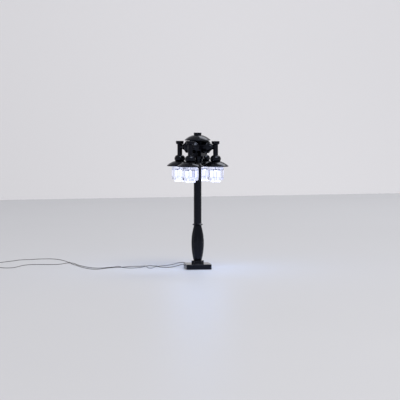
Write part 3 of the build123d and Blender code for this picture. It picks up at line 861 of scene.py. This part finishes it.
# ---- Cap and shades -------------------------------------------------------------------------------------
# Five like dishes in the same black ABS: one upside-down as the cap, on the block's top stud, and one over
# each globe.  A shallow dome, a rolled rim, a socket tube under it and a stud on top.
BRICK = 9.6
DISH_R = 8.0
LAND_R = 3.3
RIM = 0.5
RIM_EASE = 0.15
DISH_WALL = 1.2
DOME_R = 12.25
HOLLOW_R = 11.0
DISH_STEPS = 20
HOLLOW_STEPS = 16
LEAD_BORE_R = 0.55
GLOBE_H = 9.6
REACH = 12.0
ARMS = {"right": 0, "back": 90, "left": 180, "front": 270}
hub_top = hub_foot + BRICK
globe_top = POST_TOP - SEAT - PLATE


def dish(name, rim_z, bore):
    """A dish that stands on its rim, with a hole for the leads through its middle if it has a bore."""
    land_z = rim_z + PLATE
    outline = [(bore, rim_z + SOCKET_H), (SOCKET_R, rim_z + SOCKET_H), (SOCKET_R, rim_z), (LAND_R, rim_z)]
    outline += bow((LAND_R, land_z - DISH_WALL), (DISH_R - RIM, rim_z), -HOLLOW_R, HOLLOW_STEPS)
    outline += [(DISH_R, rim_z)]
    outline += bow((DISH_R, rim_z + RIM), (LAND_R, land_z), DOME_R, DISH_STEPS)
    outline += [(STUD_R, land_z), (STUD_R, land_z + STUD_H), (bore, land_z + STUD_H)]
    return turned(name, eased(outline, RIM_EASE, closed=bool(bore)), closed=bool(bore))


cap = dish("cap_top", hub_top + SEAT, 0)
show(finished(cap, gloss_black_abs), "cap", "gloss_black_abs", "cap_dish")


def at_lamp(piece, side):
    """Moves a piece made on the post's axis out to one of the four lamps."""
    turn = Matrix.Rotation(HEAD_TURN + math.radians(ARMS[side]), 4, "Z")
    piece.data.transform(turn @ Matrix.Translation((REACH * MM, 0, 0)))
    return piece


for side in ARMS:
    shade = at_lamp(dish(f"lamp_shade_{side}", globe_top, LEAD_BORE_R), side)
    show(finished(shade, gloss_black_abs), f"lamp_{side}", "gloss_black_abs", f"shade_{side}")

# ---- Arms -----------------------------------------------------------------------------------------------
# Four like mouldings that plug onto the block's side studs: a round flange that draws in to a short pipe,
# an upright with a knob on top, and a ball that takes the shade's stud.  The leads run inside.
AXIS_Z = 76.0
HUB_HALF = 3.9
FLANGE_R = 3.8
FLANGE_END = 7.3
SHOULDER = (3.3, 7.8)
SHOULDER_R = 0.9
SHOULDER_STEPS = 6
CONE_END = 10.4
CONE_R = 6.0
STUB_R = 1.35
PIPE_R = 1.55
PIPE_BORE_R = 0.6
BORE_PAST = 0.2
KNOB_R = 2.45
KNOB_LOW = 77.75
KNOB_HIGH = 79.75
KNOB_EASE = 0.3
BALL_FOOT_R = 2.85
BALL_TOP = 71.0
BALL_ARC = 2.38
BALL_STEPS = 16
SOFT_EASE = 0.18
ARM_STEPS = 96
BORE_STEPS = 32
QUARTER = math.radians(90)


def lying(piece):
    """Lays a piece turned about the upright axis along +X, at the height of the side studs."""
    lay_down = Matrix.Rotation(QUARTER, 4, "Y")
    piece.data.transform(Matrix.Translation((0, 0, AXIS_Z * MM)) @ lay_down)
    return piece


def arm(name):
    """One arm along +X."""
    seat = HUB_HALF + SEAT
    flange = [(0, seat + SOCKET_H), (SOCKET_R, seat + SOCKET_H), (SOCKET_R, seat), (FLANGE_R, seat)]
    flange += bow((FLANGE_R, FLANGE_END), SHOULDER, SHOULDER_R, SHOULDER_STEPS)
    flange += bow(SHOULDER, (STUB_R, CONE_END), -CONE_R)[1:]
    flange += [(STUB_R, REACH), (0, REACH)]
    upright = [(0, POST_TOP + SOCKET_H), (SOCKET_R, POST_TOP + SOCKET_H), (SOCKET_R, POST_TOP)]
    upright += bow((BALL_FOOT_R, POST_TOP), (PIPE_R, BALL_TOP), BALL_ARC, BALL_STEPS)
    upright += [
        (PIPE_R, KNOB_LOW - KNOB_EASE),
        (KNOB_R, KNOB_LOW + KNOB_EASE),
        (KNOB_R, KNOB_HIGH),
        (0, KNOB_HIGH),
    ]
    pipe = turned("upright", eased(upright, SOFT_EASE), steps=ARM_STEPS)
    pipe.data.transform(Matrix.Translation((REACH * MM, 0, 0)))
    made = joined(lying(turned(name, eased(flange, SHARP_EASE), steps=ARM_STEPS)), pipe, "UNION")
    bore_end = REACH + BORE_PAST
    level_bore = [(0, HUB_HALF), (LEAD_BORE_R, HUB_HALF), (LEAD_BORE_R, bore_end), (0, bore_end)]
    made = joined(made, lying(turned("level_bore", level_bore, steps=BORE_STEPS)), "DIFFERENCE")
    drop_end = AXIS_Z + BORE_PAST
    drop_bore = [(0, POST_TOP), (PIPE_BORE_R, POST_TOP), (PIPE_BORE_R, drop_end), (0, drop_end)]
    drop = turned("drop_bore", drop_bore, steps=BORE_STEPS)
    drop.data.transform(Matrix.Translation((REACH * MM, 0, 0)))
    return joined(made, drop, "DIFFERENCE")


first_arm = finished(arm("lamp_arm_right"), gloss_black_abs)
first_arm.data.transform(Matrix.Rotation(HEAD_TURN, 4, "Z"))
for side, angle in ARMS.items():
    piece = first_arm
    if side != "right":
        piece = bpy.data.objects.new(f"lamp_arm_{side}", first_arm.data.copy())
        bpy.context.scene.collection.objects.link(piece)
        piece.data.transform(Matrix.Rotation(math.radians(angle), 4, "Z"))
    show(piece, f"arm_{side}", "gloss_black_abs", f"arm_{side}")

# ---- Globes ---------------------------------------------------------------------------------------------
# Four clear barrels with thick walls, moulded in polycarbonate, open below and plugged into the shades.
# Their glow is painted, as an emission in the wall, so the whole globe glows and its edges stay a little
# bluer.
GLOBE_R = 5.1
GLOBE_SHOULDER = 1.6
GLOBE_NECK_R = 3.25
GLOBE_NECK_H = 1.2
GLOBE_ROOM_R = 3.5
GLOBE_ROOF = 1.5
GLOBE_MOUTH_H = 2.4
GLOBE_SLOPE = 0.8
MARK_SLACK = 0.05
globe_foot = globe_top - GLOBE_H
body_foot = globe_foot + GLOBE_NECK_H
room_foot = globe_foot + GLOBE_MOUTH_H
room_top = globe_top - GLOBE_ROOF

# Clear polycarbonate, lit from inside.  The wall passes light and bends it.  Where the light leaks out, it
# is
# painted glow: an emission of cold white, brightest on the inner wall, in painted upright streaks.
STREAKS_ROUND = 26.0
STREAKS_ALONG = 1.3
clear_polycarbonate, tree, place = start_material("clear_polycarbonate")
skin_place = add(tree, "ShaderNodeUVMap", {"uv_map": "skin"}).outputs["UV"]
lit = add(tree, "ShaderNodeAttribute", {"attribute_name": "inner_wall"}).outputs["Fac"]
streak_place = add(tree, "ShaderNodeMapping", {}, {
    "Vector": skin_place,
    "Scale": (STREAKS_ROUND, STREAKS_ALONG, 1.0),
})
streaks = add(tree, "ShaderNodeTexNoise", {}, {
    "Vector": streak_place.outputs["Vector"],
    "Scale": 1.0,
    "Detail": 2.0,
})
polish = add(tree, "ShaderNodeTexNoise", {}, {"Vector": place, "Scale": 1 / (1.6 * MM), "Detail": 2.0})
bump = add(tree, "ShaderNodeBump", {}, {
    "Height": polish.outputs["Fac"],
    "Strength": 0.25,
    "Distance": 0.05 * MM,
})
gloss = add(tree, "ShaderNodeMapRange", {}, {"Value": polish.outputs["Fac"], "To Min": 0.02, "To Max": 0.1})
# painted glow: an emission in upright streaks stands for the diode's light leaking out of the wall
painted_glow_streaks = add(tree, "ShaderNodeMapRange", {}, {
    "Value": streaks.outputs["Fac"],
    "From Min": 0.38,
    "From Max": 0.62,
    "To Min": 0.08,
    "To Max": 0.85,
})
# the painted glow is stronger on the inner wall
inner_glow = add(tree, "ShaderNodeMath", {"operation": "MULTIPLY_ADD"}, {0: lit, 1: 0.66, 2: 0.06})
strength = add(tree, "ShaderNodeMath", {"operation": "MULTIPLY"}, {
    0: painted_glow_streaks.outputs["Result"],
    1: inner_glow.outputs["Value"],
})
# the colour of the painted glow, varying with the streaks
tone = add(tree, "ShaderNodeMix", {"data_type": "RGBA"}, {
    0: streaks.outputs["Fac"],
    6: linear("#c3cdff"),
    7: linear("#f1f4ff"),
})
shader = add(tree, "ShaderNodeBsdfPrincipled", {}, {
    "Base Color": linear("#f4f6ff"),
    "Roughness": gloss.outputs["Result"],
    "Normal": bump.outputs["Normal"],
    "IOR": 1.585,
    "Transmission Weight": 1.0,
    "Emission Color": tone.outputs[2],
    "Emission Strength": strength.outputs["Value"],
})
add(tree, "ShaderNodeOutputMaterial", {}, {"Surface": shader.outputs["BSDF"]})


def globe(name):
    """One globe on the upright axis, with the inner wall marked."""
    outline = eased([
        (LEAD_BORE_R, room_top),
        (GLOBE_ROOM_R - GLOBE_SLOPE, room_top),
        (GLOBE_ROOM_R, room_top - GLOBE_SLOPE),
        (GLOBE_ROOM_R, room_foot + GLOBE_SLOPE),
        (SOCKET_R, room_foot),
        (SOCKET_R, globe_foot),
        (GLOBE_NECK_R, globe_foot),
        (GLOBE_NECK_R, body_foot),
        (GLOBE_R - GLOBE_SHOULDER, body_foot),
    ], SOFT_EASE)
    outline += eased([
        (GLOBE_R - GLOBE_SHOULDER, body_foot),
        (GLOBE_R, body_foot),
        (GLOBE_R, globe_top - SEAT),
        (GLOBE_R - GLOBE_SHOULDER, globe_top - SEAT),
    ], GLOBE_SHOULDER, steps=ARC_STEPS)[1:]
    outline += eased([
        (GLOBE_R - GLOBE_SHOULDER, globe_top - SEAT),
        (STUD_R, globe_top - SEAT),
        (STUD_R, globe_top - SEAT + STUD_H),
        (LEAD_BORE_R, globe_top - SEAT + STUD_H),
    ], SHARP_EASE)[1:]
    made = turned(name, outline, closed=True)
    # the inner wall is marked so that the material paints its glow brightest there
    marks = made.data.attributes.new("inner_wall", "FLOAT", "POINT")
    for point, mark in zip(made.data.vertices, marks.data):
        away = math.hypot(point.co.x, point.co.y) / MM
        level = point.co.z / MM
        within = globe_foot + SOFT_EASE < level < room_top + MARK_SLACK
        mark.value = float(within and away < GLOBE_ROOM_R + MARK_SLACK)
    return made


for side in ARMS:
    piece = finished(at_lamp(globe(f"lamp_globe_{side}"), side), clear_polycarbonate)
    show(piece, f"lamp_{side}", "clear_polycarbonate", f"globe_{side}")

# ---- Light-emitting diodes ------------------------------------------------------------------------------
# Under each globe's roof is a white-masked board with one side-lit diode soldered to it.  The pads show at
# the board's ends, and the light itself is a small lamp just under the globe's mouth.
solder_mask, tree, place = start_material("solder_mask")
weave = add(tree, "ShaderNodeTexNoise", {}, {"Vector": place, "Scale": 1 / (0.3 * MM), "Detail": 3.0})
gloss = add(tree, "ShaderNodeMapRange", {}, {"Value": weave.outputs["Fac"], "To Min": 0.3, "To Max": 0.5})
bump = add(tree, "ShaderNodeBump", {}, {
    "Height": weave.outputs["Fac"],
    "Strength": 0.2,
    "Distance": 0.02 * MM,
})
tone = add(tree, "ShaderNodeMix", {"data_type": "RGBA"}, {
    0: weave.outputs["Fac"],
    6: linear("#dfe1dd"),
    7: linear("#eff0ee"),
})
shader = add(tree, "ShaderNodeBsdfPrincipled", {}, {
    "Base Color": tone.outputs[2],
    "Roughness": gloss.outputs["Result"],
    "Normal": bump.outputs["Normal"],
    "IOR": 1.5,
})
add(tree, "ShaderNodeOutputMaterial", {}, {"Surface": shader.outputs["BSDF"]})

# Phosphor in clear silicone over the diode: glows evenly, a cold white.
lit_phosphor, tree, place = start_material("lit_phosphor")
grains = add(tree, "ShaderNodeTexNoise", {}, {"Vector": place, "Scale": 1 / (0.1 * MM), "Detail": 1.0})
glow = add(tree, "ShaderNodeMapRange", {}, {"Value": grains.outputs["Fac"], "To Min": 6.0, "To Max": 9.0})
tone = add(tree, "ShaderNodeMix", {"data_type": "RGBA"}, {
    0: grains.outputs["Fac"],
    6: linear("#dfe7ff"),
    7: linear("#f5f7ff"),
})
shader = add(tree, "ShaderNodeBsdfPrincipled", {}, {
    "Base Color": linear("#f3f0d8"),
    "Roughness": 0.3,
    "IOR": 1.41,
    "Emission Color": tone.outputs[2],
    "Emission Strength": glow.outputs["Result"],
})
add(tree, "ShaderNodeOutputMaterial", {}, {"Surface": shader.outputs["BSDF"]})

BOARD_EDGE = 0.05 * MM
GLOW_DROP = 4.0
GLOW_R = 5.0
GLOW_POWER = 0.015
for side in ARMS:
    board = moulded(f"led_board_{side}", f"diode_board_{side}", BOARD_EDGE, solder_mask)
    show(board, f"lamp_{side}", "led_board", f"led_board_{side}")
    diode = moulded(f"led_chip_{side}", f"diode_{side}", BOARD_EDGE, lit_phosphor)
    show(diode, f"lamp_{side}", "led_lens", f"led_chip_{side}")
    glow = bpy.data.lights.new(f"glow_{side}", "POINT")
    glow.energy = GLOW_POWER
    glow.color = linear("#8fbaff")[:3]
    glow.shadow_soft_size = GLOW_R * MM
    lamp = bpy.data.objects.new(f"glow_{side}", glow)
    lamp.visible_camera = False
    bpy.context.scene.collection.objects.link(lamp)
    turn = Matrix.Rotation(HEAD_TURN + math.radians(ARMS[side]), 4, "Z")
    lamp.matrix_world = turn @ Matrix.Translation((REACH * MM, 0, (globe_foot - GLOW_DROP) * MM))
    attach(lamp, f"lamp_{side}")

# ---- Table, backdrop and light --------------------------------------------------------------------------
# A pale, slightly shiny table that ends behind the lamp, with a plain backdrop beyond it.  One large soft
# light hangs over the front, one over the rear edge, and one below the edge lights the backdrop.
TABLE_HALF = 1.7
TABLE_BACK = 0.82
TABLE_SLANT = 0.17
BACKDROP_AT = 1.7
BACKDROP_HALF = 3.0
BACKDROP_UP = 3.0


def panel(name, corners, material):
    """A flat staged surface."""
    mesh = bpy.data.meshes.new(name)
    mesh.from_pydata(corners, [], [tuple(range(len(corners)))])
    mesh.materials.append(material)
    surface = bpy.data.objects.new(name, mesh)
    bpy.context.scene.collection.objects.link(surface)
    return surface


pale_laminate, tree, place = start_material("pale_laminate")
cloud = add(tree, "ShaderNodeTexNoise", {}, {"Vector": place, "Scale": 1 / (180 * MM), "Detail": 2.0})
tooth = add(tree, "ShaderNodeTexNoise", {}, {"Vector": place, "Scale": 1 / (1.5 * MM), "Detail": 3.0})
bump = add(tree, "ShaderNodeBump", {}, {
    "Height": tooth.outputs["Fac"],
    "Strength": 0.05,
    "Distance": 0.05 * MM,
})
gloss = add(tree, "ShaderNodeMapRange", {}, {"Value": cloud.outputs["Fac"], "To Min": 0.46, "To Max": 0.5})
tone = add(tree, "ShaderNodeMix", {"data_type": "RGBA"}, {
    0: cloud.outputs["Fac"],
    6: linear("#bbbcc0"),
    7: linear("#bfc0c4"),
})
shader = add(tree, "ShaderNodeBsdfPrincipled", {}, {
    "Base Color": tone.outputs[2],
    "Roughness": gloss.outputs["Result"],
    "Normal": bump.outputs["Normal"],
    "IOR": 1.5,
    "Specular IOR Level": 0.13,
})
add(tree, "ShaderNodeOutputMaterial", {}, {"Surface": shader.outputs["BSDF"]})

backdrop_paper, tree, place = start_material("backdrop_paper")
fibre = add(tree, "ShaderNodeTexNoise", {}, {"Vector": place, "Scale": 1 / (400 * MM), "Detail": 1.0})
tone = add(tree, "ShaderNodeMix", {"data_type": "RGBA"}, {
    0: fibre.outputs["Fac"],
    6: linear("#f0f0f3"),
    7: linear("#f4f4f7"),
})
shader = add(tree, "ShaderNodeBsdfPrincipled", {}, {
    "Base Color": tone.outputs[2],
    "Roughness": 0.9,
    "Specular IOR Level": 0.1,
})
add(tree, "ShaderNodeOutputMaterial", {}, {"Surface": shader.outputs["BSDF"]})

table = panel("table", [
    (-TABLE_HALF, -TABLE_HALF, 0),
    (TABLE_HALF, -TABLE_HALF, 0),
    (TABLE_HALF, TABLE_BACK + TABLE_SLANT * TABLE_HALF, 0),
    (-TABLE_HALF, TABLE_BACK - TABLE_SLANT * TABLE_HALF, 0),
], pale_laminate)
panel("backdrop", [
    (-BACKDROP_HALF, BACKDROP_AT, -BACKDROP_UP / 2),
    (BACKDROP_HALF, BACKDROP_AT, -BACKDROP_UP / 2),
    (BACKDROP_HALF, BACKDROP_AT, BACKDROP_UP),
    (-BACKDROP_HALF, BACKDROP_AT, BACKDROP_UP),
], backdrop_paper)

# the light from under the globes is for the table alone; the globes' painted glow is what the post mirrors
lit_from_globes = bpy.data.collections.new("lit_from_globes")
lit_from_globes.objects.link(table)
for side in ARMS:
    bpy.data.objects[f"glow_{side}"].light_linking.receiver_collection = lit_from_globes

world = bpy.data.worlds.new("pale_room")
world.use_nodes = True
surround = world.node_tree.nodes["Background"].inputs
surround["Color"].default_value = linear("#ecebee")
surround["Strength"].default_value = 0.5
bpy.context.scene.world = world


def softbox(name, place, aim, size, power, tint):
    """A large square light at a place, aimed at a point."""
    light = bpy.data.lights.new(name, "AREA")
    light.shape = "SQUARE"
    light.size = size
    light.energy = power
    light.color = linear(tint)[:3]
    box = bpy.data.objects.new(name, light)
    box.location = place
    box.rotation_mode = "QUATERNION"
    box.rotation_quaternion = (Vector(aim) - Vector(place)).to_track_quat("-Z", "Y")
    bpy.context.scene.collection.objects.link(box)


OVERHEAD_AT = (0.35, -0.85, 1.5)
OVERHEAD_AIM = (0.05, -0.4, 0)
REAR_AT = (0.5, 0.65, 1.0)
REAR_AIM = (0.15, 0.65, 0)
LOW_AT = (0.5, 1.05, -0.55)
LOW_AIM = (0.25, BACKDROP_AT, 0.25)
softbox("overhead", OVERHEAD_AT, OVERHEAD_AIM, size=1.1, power=25.0, tint="#fffdfb")
softbox("rear_light", REAR_AT, REAR_AIM, size=0.6, power=4.4, tint="#fdfeff")
softbox("backdrop_light", LOW_AT, LOW_AIM, size=0.6, power=1.4, tint="#fffdff")
bpy.context.scene.view_settings.view_transform = "Standard"
